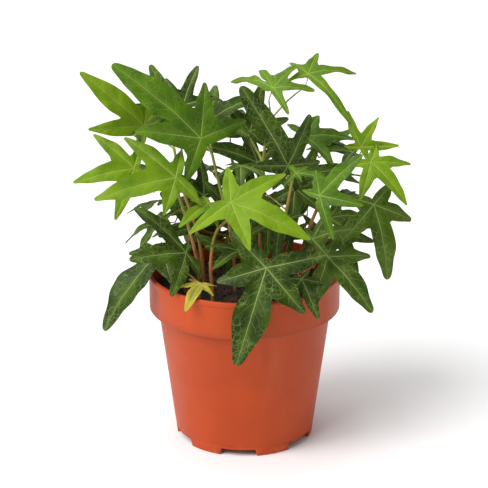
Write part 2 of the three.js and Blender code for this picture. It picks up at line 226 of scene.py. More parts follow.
@dataclass(frozen=True)
class PotPlastic:
    """Terracotta-coloured moulded plastic: satin, with flow marks, fine scuffs, dust specks and a band of
    painted shade at the ledge under the collar.
    """

    clean: str = "b74718"
    deep: str = "a93e15"
    worn: str = "c96a40"
    # Colour of the fine dust specks, also used for the painted shade round the ledge under the collar.
    dust_and_shade: str = "7a3c22"
    roughness: float = 0.46

    def material(self, ledge: float, foot: float) -> bpy.types.Material:
        """Makes the material.

        Args:
            ledge: Height of the ledge under the collar, where a band of painted shade darkens the plastic.
            foot: Height of the band round the foot that rubs on shelves.

        Returns:
            The finished material.
        """
        sheet = FinishSheet("pot_plastic")
        tone = sheet.mix(sheet.ease(sheet.noise(22, 4), 0.3, 0.7), shade(self.deep), shade(self.clean))
        flow = sheet.noise(60, 3, 0.6, sheet.stretched((1, 1, 0.08)))
        tone = sheet.mix(sheet.ease(flow, 0.5, 0.8, 0, 0.25), tone, shade(self.worn))
        specks = sheet.ease(sheet.cells(420), 0.16, 0.08)
        specks = sheet.math("MULTIPLY", specks, sheet.ease(sheet.noise(90, 2), 0.55, 0.7))
        tone = sheet.mix(sheet.math("MULTIPLY", specks, 0.5), tone, shade(self.dust_and_shade))
        height = sheet.height()
        near_foot = sheet.ease(height, foot * 1.6, 0.0)
        rubbed = sheet.math("MULTIPLY", near_foot, sheet.ease(sheet.noise(260, 4, 0.7), 0.5, 0.66))
        tone = sheet.mix(sheet.math("MULTIPLY", rubbed, 0.6), tone, shade(self.worn))
        # Painted shade: the dust colour darkens a band round the ledge height, under the collar's overhang,
        # where shade falls.
        painted_ledge_shade = sheet.ease(sheet.math("ABSOLUTE", sheet.math("SUBTRACT", height, ledge)), 0.004, 0.0)
        tone = sheet.mix(sheet.math("MULTIPLY", painted_ledge_shade, 0.25), tone, shade(self.dust_and_shade))
        scuffs = sheet.ease(sheet.noise(700, 2, 0.6, sheet.stretched((0.5, 0.5, 2.2))), 0.56, 0.72)
        rough = sheet.math("ADD", self.roughness, sheet.math("MULTIPLY", scuffs, 0.12))
        rough = sheet.math("ADD", rough, sheet.ease(sheet.noise(40, 3), 0.3, 0.7, -0.05, 0.06))
        grain = sheet.bump(sheet.noise(1400, 2), 0.00006, 0.5)
        dents = sheet.bump(sheet.noise(70, 3), 0.0004, 0.25, grain)
        sheet.set(Base_Color=tone, Roughness=rough, Normal=dents, Specular_IOR_Level=0.22)
        return sheet.material


@dataclass(frozen=True)
class PottingSoil:
    """Moist potting soil: near black, with brown fibres and a few pale grains."""

    wet: str = "1c120c"
    dry: str = "47301f"
    fibre: str = "7a5536"

    def material(self) -> bpy.types.Material:
        """Makes the material."""
        sheet = FinishSheet("potting_soil")
        tone = sheet.mix(sheet.ease(sheet.noise(140, 5, 0.6), 0.35, 0.7), shade(self.wet), shade(self.dry))
        fibres = sheet.ease(sheet.noise(500, 2, 0.5, sheet.stretched((1, 0.15, 1))), 0.62, 0.75)
        tone = sheet.mix(sheet.math("MULTIPLY", fibres, 0.6), tone, shade(self.fibre))
        relief = sheet.bump(sheet.noise(900, 5, 0.7), 0.0006, 0.9)
        relief = sheet.bump(sheet.cells(420), 0.0008, 0.6, relief)
        rough = sheet.ease(sheet.noise(220), 0.3, 0.7, 0.75, 0.98)
        sheet.set(Base_Color=tone, Roughness=rough, Normal=relief)
        return sheet.material


@dataclass(frozen=True)
class VineBark:
    """Vine and leaf stalks: tan brown by the soil, green higher up, with fine ridges and freckles."""

    low: str = "b5763a"
    high: str = "8e9a3c"
    shaded: str = "7a4b22"
    freckle: str = "e0b878"

    def material(self, soil_top: float, crown_top: float) -> bpy.types.Material:
        """Makes the material.

        Args:
            soil_top: Height of the soil.
            crown_top: Height of the top of the plant.

        Returns:
            The finished material.
        """
        sheet = FinishSheet("vine_bark")
        climb = sheet.ease(sheet.height(), soil_top, soil_top + 0.75 * (crown_top - soil_top))
        climb = sheet.math("ADD", climb, sheet.ease(sheet.noise(45, 2), 0.3, 0.7, -0.25, 0.25))
        tone = sheet.mix(sheet.ease(climb, 0.1, 0.9), shade(self.low), shade(self.high))
        ridges = sheet.noise(900, 3, 0.6, sheet.stretched((1, 1, 0.12)))
        tone = sheet.mix(sheet.ease(ridges, 0.45, 0.75, 0, 0.5), tone, shade(self.shaded))
        freckles = sheet.ease(sheet.cells(900), 0.28, 0.12)
        tone = sheet.mix(sheet.math("MULTIPLY", freckles, 0.35), tone, shade(self.freckle))
        relief = sheet.bump(ridges, 0.0002, 0.6)
        rough = sheet.ease(sheet.noise(300), 0.3, 0.7, 0.42, 0.62)
        sheet.set(Base_Color=tone, Roughness=rough, Normal=relief)
        return sheet.material


@dataclass(frozen=True)
class BladeFinish:
    """The skin of a leaf of one age, from its green to its veins and its underside.

    Fade says how far the margins and tips turn from the deep colour to the fresh one.
    """

    deep: str
    fresh: str
    vein: str
    under: str
    vein_show: float
    net_show: float
    roughness: float
    glow: float
    fade: float = 0.0

    def material(self, name: str) -> bpy.types.Material:
        """Makes the material called name, which follows the vein chart of each blade.

        The chart called veins holds the distance along a lobe's main vein and out from it, in metres. The
        chart called lobes holds both again as shares of the lobe's length and half width.
        """
        sheet = FinishSheet(name)
        along, out = sheet.chart("veins")
        share, spread = sheet.chart("lobes")
        away = sheet.math("ABSOLUTE", out)
        wander = sheet.math("MULTIPLY", sheet.math("SUBTRACT", sheet.noise(170, 2), 0.5), 0.005)
        # Main veins narrow from the joint to the tip.
        half_width = sheet.ease(share, 0.0, 1.0, 0.00046, 0.00014)
        wavy = sheet.math("ABSOLUTE", sheet.math("MULTIPLY_ADD", wander, 0.06, out))
        main = sheet.ease(wavy, half_width, sheet.math("MULTIPLY", half_width, 0.3))
        halo = sheet.ease(away, 0.003, 0.0)
        # Side veins leave the main vein by turns on its two sides and sweep forward as they go out.
        strayed = sheet.math("ADD", along, wander)
        swept = sheet.math("MULTIPLY_ADD", sheet.math("MULTIPLY", away, away), -60.0, strayed)
        slope = sheet.math("MULTIPLY_ADD", away, -0.85, swept)
        hand = sheet.math("MULTIPLY", sheet.math("SIGN", out), 0.25)
        step = sheet.math("MULTIPLY_ADD", slope, 1 / 0.0068, hand)
        gap = sheet.math("MULTIPLY", sheet.math("PINGPONG", step, 0.5), 0.0046)
        side = sheet.ease(gap, sheet.ease(spread, 0.0, 1.0, 0.00034, 0.0001), 0.00003)
        side = sheet.math("MULTIPLY", side, sheet.ease(spread, 0.95, 0.4))
        mesh = sheet.cells(360, "DISTANCE_TO_EDGE", sheet.shaken(0.0012))
        net = sheet.ease(mesh, 0.075, 0.012)
        net = sheet.math("MULTIPLY", net, sheet.ease(sheet.noise(110, 2), 0.35, 0.6))
        quilt = sheet.math("MULTIPLY", sheet.math("PINGPONG", step, 0.5), sheet.ease(spread, 0.0, 0.25))

        tone = sheet.attribute("tone")
        patches = sheet.ease(sheet.noise(70, 3), 0.3, 0.7, -0.25, 0.25)
        tone = sheet.math("ADD", tone, patches)
        tone = sheet.math("ADD", tone, sheet.math("MULTIPLY", halo, 0.18))
        faded = sheet.math("MAXIMUM", sheet.ease(spread, 0.4, 0.95), sheet.ease(share, 0.6, 0.95))
        tone = sheet.math("MULTIPLY_ADD", faded, self.fade, tone)
        green = sheet.mix(sheet.ease(tone, -0.1, 1.1), shade(self.deep), shade(self.fresh))
        shown = sheet.math("MULTIPLY", main, self.vein_show)
        shown = sheet.math("MAXIMUM", shown, sheet.math("MULTIPLY", side, self.vein_show * 0.38))
        shown = sheet.math("MAXIMUM", shown, sheet.math("MULTIPLY", net, self.net_show))
        shown = sheet.math("MAXIMUM", shown, sheet.math("MULTIPLY", halo, self.vein_show * 0.12))
        green = sheet.mix(shown, green, shade(self.vein))
        underside = sheet.attribute("underside")
        pale = sheet.mix(sheet.math("MULTIPLY", shown, 0.6), shade(self.under), shade(self.vein))
        green = sheet.mix(underside, green, pale)

        relief = sheet.math("MULTIPLY", quilt, 0.8)
        relief = sheet.math("SUBTRACT", relief, sheet.math("MULTIPLY", main, 0.5))
        relief = sheet.math("SUBTRACT", relief, sheet.math("MULTIPLY", side, 0.3))
        normal = sheet.bump(relief, 0.0006, 0.55)
        normal = sheet.bump(sheet.math("MINIMUM", mesh, 0.25), 0.0005, 0.3, normal)
        normal = sheet.bump(sheet.noise(1500, 2), 0.0001, 0.25, normal)
        rough = sheet.ease(sheet.noise(180, 3), 0.3, 0.7, self.roughness - 0.05, self.roughness + 0.1)
        rough = sheet.math("MULTIPLY_ADD", underside, 0.2, rough)
        sheet.set(Base_Color=green, Roughness=rough, Normal=normal, Specular_IOR_Level=0.16)
        sheet.set(Subsurface_Weight=self.glow, Subsurface_Radius=(0.45, 1.0, 0.1), Subsurface_Scale=0.0016)
        return sheet.material


class LeafAge(Enum):
    """How old a leaf is, which sets its green and its tips. The value is its slot in the record."""

    MATURE = "mature_leaf"
    MID = "mid_leaf"
    YOUNG = "young_leaf"
    YELLOWING = "yellowing_leaf"

    @property
    def bluntness(self) -> float:
        """Radius of a lobe's rounded tip, as a share of the lobe's length."""
        return {
            LeafAge.MATURE: 0.085,
            LeafAge.MID: 0.065,
            LeafAge.YOUNG: 0.04,
            LeafAge.YELLOWING: 0.06,
        }[self]


BLADE_FINISHES = {
    LeafAge.MATURE: BladeFinish("1a2c02", "456007", "a5b86c", "5d7432", 0.62, 0.27, 0.48, 0.02),
    LeafAge.MID: BladeFinish("335603", "577a08", "a9bc66", "6c8642", 0.5, 0.16, 0.48, 0.03),
    LeafAge.YOUNG: BladeFinish("4a6e03", "71900a", "b4c460", "7f9740", 0.42, 0.1, 0.5, 0.04),
    LeafAge.YELLOWING: BladeFinish("5a701a", "b3a53a", "c8c078", "97924e", 0.45, 0.1, 0.5, 0.05, fade=0.9),
}


def finish_piece(
    name: str, bm: bmesh.types.BMesh, material: bpy.types.Material, node: str | None = None
) -> bpy.types.Object:
    """Makes an object of bm, dresses it and ties it to the frame.

    Args:
        name: The new piece's name.
        bm: Its mesh, in place. It is freed here.
        material: The finish it wears.
        node: The CAD node that it stands for, if there is one.

    Returns:
        The new piece.
    """
    mesh = bpy.data.meshes.new(name)
    bm.to_mesh(mesh)
    bm.free()
    mesh.materials.append(material)
    piece = bpy.data.objects.new(name, mesh)
    bpy.context.scene.collection.objects.link(piece)
    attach(piece, BODY)
    if node:
        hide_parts(node)
    LOG.info("%s: %d faces", name, len(mesh.polygons))
    return piece


# ---------------------------------------------------------------- pot


@dataclass
class Pot:
    """The moulded nursery pot: tapered wall, straight collar over a ledge, rolled lip and notched foot."""

    node: str = "pot"
    wall: float = 1.6 * MM
    collar: float = 20.5 * MM
    lip: float = 3.0 * MM
    lip_step: float = 0.6 * MM
    shoulder_radius: float = 47.2 * MM
    foot_radius: float = 37.5 * MM
    floor_lift: float = 6.0 * MM
    floor_thickness: float = 2.0 * MM
    ridge_height: float = 5.2 * MM
    ridge_depth: float = 0.35 * MM
    notches: int = 6
    notch_width: float = 19.0 * MM
    notch_height: float = 3.8 * MM
    first_notch: float = math.radians(-95)
    drain_radius: float = 4.5 * MM
    centre_drain_radius: float = 5.0 * MM
    drain_circle: float = 24.0 * MM
    steps: int = 240
    finish: PotPlastic = field(default_factory=PotPlastic)

    def __post_init__(self) -> None:
        """Takes the rim from the frame."""
        low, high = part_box(self.node)
        self.rim_radius = (high.x - low.x) / 2
        self.rim = high.z
        self.ledge = self.rim - self.collar

    def wall_radius(self, height: float) -> float:
        """Outer radius of the tapered wall at a height."""
        return self.foot_radius + (self.shoulder_radius - self.foot_radius) * height / self.ledge

    def profile(self) -> list[tuple[float, float, float]]:
        """The turned section's corners, as radius, height and rounding, from the floor's underside round."""
        inner = self.rim_radius - self.lip_step - self.wall
        floor_top = self.floor_lift + self.floor_thickness
        ridge = self.ridge_height
        return [
            (0.0, self.floor_lift, 0.0),
            (self.wall_radius(0) - self.wall - 1.0 * MM, self.floor_lift, 0.6 * MM),
            (self.wall_radius(0) - self.wall, 0.0, 0.3 * MM),
            (self.wall_radius(0), 0.0, 0.4 * MM),
            (self.wall_radius(ridge) - self.ridge_depth * 0.2, ridge - 0.6 * MM, 0.2 * MM),
            (self.wall_radius(ridge) - self.ridge_depth, ridge, 0.3 * MM),
            (self.wall_radius(ridge + 1.2 * MM), ridge + 1.2 * MM, 0.4 * MM),
            (self.wall_radius(self.ledge), self.ledge, 0.5 * MM),
            (self.rim_radius - self.lip_step, self.ledge, 0.7 * MM),
            (self.rim_radius - self.lip_step, self.rim - self.lip, 0.25 * MM),
            (self.rim_radius, self.rim - self.lip + self.lip_step, 0.35 * MM),
            (self.rim_radius, self.rim, 0.75 * MM),
            (inner, self.rim, 0.6 * MM),
            (inner, self.ledge + self.wall, 0.5 * MM),
            (self.wall_radius(self.ledge) - self.wall, self.ledge + self.wall, 0.5 * MM),
            (self.wall_radius(floor_top) - self.wall, floor_top, 0.8 * MM),
            (0.0, floor_top, 0.0),
        ]

    def turn_body(self) -> bmesh.types.BMesh:
        """Rounds the section's corners and spins it."""
        bm = bmesh.new()
        corners = self.profile()
        verts = [bm.verts.new((radius, 0, height)) for radius, height, _ in corners]
        for first, second in zip(verts, verts[1:]):
            bm.edges.new((first, second))
        for vert, (_, _, rounding) in zip(verts, corners):
            if rounding:
                bmesh.ops.bevel(
                    bm, geom=[vert], offset=rounding, segments=4, profile=0.5, affect="VERTICES", material=-1
                )
        bmesh.ops.spin(
            bm, geom=bm.verts[:] + bm.edges[:], cent=(0, 0, 0), axis=(0, 0, 1), angle=FULL_TURN,
            steps=self.steps, use_merge=True,
        )
        return bm

    def cut_notches(self, bm: bmesh.types.BMesh) -> None:
        """Lifts the foot ring over each notch."""
        half = math.asin(self.notch_width / 2 / self.foot_radius)
        spacing = FULL_TURN / self.notches
        for vert in bm.verts:
            if vert.co.z >= self.notch_height or vert.co.xy.length < self.drain_circle:
                continue
            turn = (math.atan2(vert.co.y, vert.co.x) - self.first_notch + spacing / 2) % spacing - spacing / 2
            if abs(turn) < half:
                vert.co.z = self.notch_height

    def drain_cutter(self) -> bpy.types.Object:
        """The six drain holes and the middle one, as one object of upright cylinders."""
        bm = bmesh.new()
        places = [(0.0, 0.0, self.centre_drain_radius)]
        for notch in range(self.notches):
            turn = self.first_notch + notch * FULL_TURN / self.notches
            x, y = self.drain_circle * math.cos(turn), self.drain_circle * math.sin(turn)
            places.append((x, y, self.drain_radius))
        middle = self.floor_lift + self.floor_thickness / 2
        for x, y, radius in places:
            bmesh.ops.create_cone(
                bm, cap_ends=True, segments=32, radius1=radius, radius2=radius,
                depth=3 * self.floor_thickness,
                matrix=Matrix.Translation((x, y, middle)),
            )
        mesh = bpy.data.meshes.new("drain_cutter")
        bm.to_mesh(mesh)
        bm.free()
        cutter = bpy.data.objects.new("drain_cutter", mesh)
        bpy.context.scene.collection.objects.link(cutter)
        return cutter

    def drilled(self, bm: bmesh.types.BMesh) -> bmesh.types.BMesh:
        """Cuts the drain holes through the floor.

        Args:
            bm: The turned pot. It is freed here.

        Returns:
            The pot with its holes.
        """
        mesh = bpy.data.meshes.new("pot_blank")
        bm.to_mesh(mesh)
        bm.free()
        blank = bpy.data.objects.new("pot_blank", mesh)
        bpy.context.scene.collection.objects.link(blank)
        cutter = self.drain_cutter()
        cut = blank.modifiers.new("drains", "BOOLEAN")
        cut.operation = "DIFFERENCE"
        cut.solver = "EXACT"
        cut.object = cutter
        drilled = bmesh.new()
        drilled.from_object(blank, bpy.context.evaluated_depsgraph_get())
        bpy.data.objects.remove(blank)
        bpy.data.objects.remove(cutter)
        return drilled

    def build(self) -> bpy.types.Object:
        """Makes the pot's piece."""
        bm = self.turn_body()
        self.cut_notches(bm)
        bmesh.ops.remove_doubles(bm, verts=bm.verts[:], dist=WELD)
        bmesh.ops.recalc_face_normals(bm, faces=bm.faces[:])
        bm = self.drilled(bm)
        for face in bm.faces:
            face.smooth = True
        for edge in bm.edges:
            edge.smooth = edge.calc_face_angle(0.0) < math.radians(50)
        material = self.finish.material(self.ledge, self.ridge_height)
        return finish_piece("pot_shell", bm, material, self.node)


# ---------------------------------------------------------------- potting soil


@dataclass
class Soil:
    """The potting soil: a lumpy round bed with loose crumbs on it."""

    node: str = "soil"
    rings: int = 44
    steps: int = 180
    depth: float = 9 * MM
    lump: float = 1.1 * MM
    grain: float = 0.5 * MM
    headroom: float = 1.6 * MM
    crumbs: int = 420
    seed: int = 11
    finish: PottingSoil = field(default_factory=PottingSoil)

    def __post_init__(self) -> None:
        """Takes the bed's size from the frame."""
        low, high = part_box(self.node)
        self.radius = (high.x - low.x) / 2
        self.top = high.z

    def surface(self, x: float, y: float) -> float:
        """Height of the bed's surface at a place."""
        share = math.hypot(x, y) / self.radius
        lumps = noise.noise(Vector((x, y, 0)) * 90) * self.lump
        grains = noise.noise(Vector((x, y, 3)) * 420) * self.grain
        return self.top - self.headroom - 1.6 * MM * share**2 + lumps + grains

    def bed(self) -> bmesh.types.BMesh:
        """Spins the bed's section and shapes its surface."""
        bm = bmesh.new()
        row = [bm.verts.new((self.radius * ring / self.rings, 0, self.top)) for ring in range(self.rings + 1)]
        row.append(bm.verts.new((self.radius, 0, self.top - self.depth)))
        row.append(bm.verts.new((0, 0, self.top - self.depth)))
        for first, second in zip(row, row[1:]):
            bm.edges.new((first, second))
        bmesh.ops.spin(
            bm, geom=bm.verts[:] + bm.edges[:], cent=(0, 0, 0), axis=(0, 0, 1), angle=FULL_TURN,
            steps=self.steps, use_merge=True,
        )
        bmesh.ops.remove_doubles(bm, verts=bm.verts[:], dist=WELD)
        bmesh.ops.recalc_face_normals(bm, faces=bm.faces[:])
        for vert in bm.verts:
            if vert.co.z > self.top - WELD:
                vert.co.z = self.surface(vert.co.x, vert.co.y)
        return bm

    def scatter(self, bm: bmesh.types.BMesh) -> None:
        """Drops crumbs over the bed."""
        dice = random.Random(self.seed)
        for _ in range(self.crumbs):
            reach = (self.radius - 2.5 * MM) * math.sqrt(dice.random())
            turn = dice.uniform(0, FULL_TURN)
            x, y = reach * math.cos(turn), reach * math.sin(turn)
            size = dice.uniform(0.5, 1.7) * MM
            place = Matrix.Translation((x, y, self.surface(x, y) + 0.1 * size))
            spin = Matrix.Rotation(
                dice.uniform(0, FULL_TURN), 4, Vector((dice.random(), dice.random(), 1)).normalized()
            )
            squash = Matrix.Diagonal((1, dice.uniform(0.55, 0.95), dice.uniform(0.4, 0.75), 1))
            made = bmesh.ops.create_icosphere(bm, subdivisions=1, radius=size, matrix=place @ spin @ squash)
            for vert in made["verts"]:
                vert.co += noise.noise_vector(vert.co * 700) * 0.35 * size

    def build(self) -> bpy.types.Object:
        """Makes the soil's piece."""
        bm = self.bed()
        self.scatter(bm)
        for face in bm.faces:
            face.smooth = True
        return finish_piece("soil_bed", bm, self.finish.material(), self.node)


# ---------------------------------------------------------------- vines


@dataclass
class Vine:
    """One vine with its leaf stalks, rounded from its CAD solid, with swellings and fine ridges."""

    node: str
    material: bpy.types.Material
    voxel: float = 0.42 * MM
    swelling: float = 0.22 * MM
    smoothing: int = 6

    def build(self) -> bpy.types.Object:
        """Makes the vine's piece."""
        bm = bmesh.new()
        bm.from_mesh(frame["nodes"][self.node].data)
        bmesh.ops.remove_doubles(bm, verts=bm.verts[:], dist=WELD)
        rough = bpy.data.meshes.new("rough_vine")
        bm.to_mesh(rough)
        bm.free()
        blank = bpy.data.objects.new("rough_vine", rough)
        bpy.context.scene.collection.objects.link(blank)
        remesh = blank.modifiers.new("even_skin", "REMESH")
        remesh.mode = "VOXEL"
        remesh.voxel_size = self.voxel
        bm = bmesh.new()
        bm.from_object(blank, bpy.context.evaluated_depsgraph_get())
        bpy.data.objects.remove(blank)
        for _ in range(self.smoothing):
            bmesh.ops.smooth_vert(
                bm, verts=bm.verts[:], factor=0.5, use_axis_x=True, use_axis_y=True, use_axis_z=True
            )
        bm.normal_update()
        for vert in bm.verts:
            grown = 0.2 + 0.6 * noise.noise(vert.co * 130) + 0.3 * noise.noise(vert.co * 520)
            vert.co += vert.normal * self.swelling * grown
        for face in bm.faces:
            face.smooth = True
        return finish_piece(f"{self.node}_stalks", bm, self.material, self.node)


# ---------------------------------------------------------------- leaves


@dataclass
class HalfLobe:
    """One side of a lobe on the leaf's plane, from the joint past its sinus and shoulder to the tip."""

    hand: int
    sinus: np.ndarray
    shoulder: np.ndarray


@dataclass
class Lobe:
    """One lobe of a blade on the leaf's plane: its tip and its two sides."""

    tip: np.ndarray
    halves: list[HalfLobe]


class BladeSurvey:
    """The places on one CAD blade that its finished leaf keeps: joint, veins, tips, shoulders and sinuses."""

    CLOSE = 2e-5

    def __init__(self, node: str) -> None:
        """Reads the blade of a CAD node."""
        bm = bmesh.new()
        bm.from_mesh(frame["nodes"][node].data)
        bmesh.ops.remove_doubles(bm, verts=bm.verts[:], dist=self.CLOSE / 2)
        hubs = sorted(bm.verts, key=lambda vert: len(vert.link_edges))[-2:]
        hub, below = sorted(hubs, key=lambda vert: -vert.co.z)
        gap = hub.co - below.co
        upper = {v for v in bm.verts if any((v.co - gap - w.co).length < self.CLOSE for w in bm.verts)}
        rim = {v for v in upper if any(e.other_vert(v) not in upper for e in v.link_edges)}
        spokes = {e.other_vert(hub) for e in hub.link_edges}
        sinuses = spokes & rim
        veins = spokes - rim
        if (len(upper), len(rim), len(sinuses), len(veins)) != (26, 20, 5, 5):
            raise ValueError(f"{node} isn't a five-lobed blade")
        self.joint = hub.co.copy()
        self.up = gap.normalized()
        basal = min(sinuses, key=lambda vert: (vert.co - hub.co).length)
        along = hub.co - basal.co
        self.along = (along - self.up * along.dot(self.up)).normalized()
        self.side = self.along.cross(self.up)
        self.landmarks = np.array([self.flat(vert.co) for vert in upper])
        self.lobes = [self.read_lobe(vein, rim, sinuses) for vein in sorted(veins, key=self.heading)]
        self.length = float(np.linalg.norm(self.lobes[2].tip))
        bm.free()

    def moved(self, joint: Vector, tip: Vector, faces: Vector) -> "BladeSurvey":
        """The same leaf shape at another place and size.

        Args:
            joint: Where the new blade meets its stalk.
            tip: Where its middle lobe ends.
            faces: The way its upper side looks.

        Returns:
            A new survey, which shares nothing with this one.
        """
        other = copy.deepcopy(self)
        other.joint = joint
        other.along = (tip - joint).normalized()
        other.up = (faces - other.along * faces.dot(other.along)).normalized()
        other.side = other.along.cross(other.up)
        growth = (tip - joint).length / self.length
        other.length = self.length * growth
        other.landmarks = self.landmarks * growth
        for lobe in other.lobes:
            lobe.tip = lobe.tip * growth
            for half in lobe.halves:
                half.sinus = half.sinus * growth
                half.shoulder = half.shoulder * growth
        return other

    def flat(self, place: Vector) -> tuple[float, float, float]:
        """A place as distances along the leaf, to its side and above its plane."""
        step = place - self.joint
        return step.dot(self.along), step.dot(self.side), step.dot(self.up)

    def heading(self, vert: bmesh.types.BMVert) -> float:
        """The direction of a vert from the joint, turning from the low left lobe round to the low right."""
        u, v, _ = self.flat(vert.co)
        return math.atan2(v, u)

    def read_lobe(self, vein: bmesh.types.BMVert, rim: set, sinuses: set) -> Lobe:
        """The lobe round one vein's middle vert."""
        around = {e.other_vert(vein) for e in vein.link_edges}
        outer = [v for v in around if v in rim and v not in sinuses]
        tip = next(
            v for v in outer
            if all(w is v or any(e.other_vert(v) is w for e in v.link_edges) for w in outer)
        )
        end = np.array(self.flat(tip.co)[:2])
        halves = []
        for hand in (-1, 1):
            def offset(vert: bmesh.types.BMVert) -> float:
                """How far a vert lies to this hand of the lobe's vein."""
                u, v, _ = self.flat(vert.co)
                return hand * (end[0] * v - end[1] * u)

            sinus = max((v for v in around if v in sinuses), key=offset)
            shoulder = max((v for v in outer if v is not tip), key=offset)
            inner, outward = (np.array(self.flat(vert.co)[:2]) for vert in (sinus, shoulder))
            halves.append(HalfLobe(hand, inner, outward))
        return Lobe(end, halves)


class SmoothHeight:
    """A thin springy sheet through a blade's landmarks, which gives its height over the leaf's plane."""

    def __init__(self, landmarks: np.ndarray, slack: float = 1e-4) -> None:
        """Fits the sheet.

        Args:
            landmarks: Rows of along, side and height, in metres.
            slack: How freely the sheet may pass by a landmark.
        """
        self.scale = float(np.abs(landmarks[:, :2]).max())
        self.points = landmarks[:, :2] / self.scale
        count = len(self.points)
        system = np.zeros((count + 3, count + 3))
        system[:count, :count] = self.spring(self.points) + slack * np.eye(count)
        system[:count, count:] = np.c_[np.ones(count), self.points]
        system[count:, :count] = system[:count, count:].T
        goal = np.r_[landmarks[:, 2] / self.scale, np.zeros(3)]
        self.weights = np.linalg.solve(system, goal)

    def spring(self, places: np.ndarray) -> np.ndarray:
        """The sheet's answer at places to a push at each landmark."""
        squared = ((places[:, None] - self.points[None]) ** 2).sum(2)
        return 0.5 * squared * np.log(np.maximum(squared, 1e-12))

    def __call__(self, places: np.ndarray) -> np.ndarray:
        """The sheet's height at rows of along and side, in metres."""
        near = places / self.scale
        plain = np.c_[np.ones(len(near)), near]
        count = len(self.points)
        return self.scale * (self.spring(near) @ self.weights[:count] + plain @ self.weights[count:])


def bend(
    start: np.ndarray, pull: np.ndarray, push: np.ndarray, end: np.ndarray, shares: np.ndarray
) -> np.ndarray:
    """Points on the smooth curve from start to end that leaves towards pull and arrives from push."""
    t = shares[:, None]
    return (1 - t) ** 3 * start + 3 * (1 - t) ** 2 * t * pull + 3 * (1 - t) * t**2 * push + t**3 * end


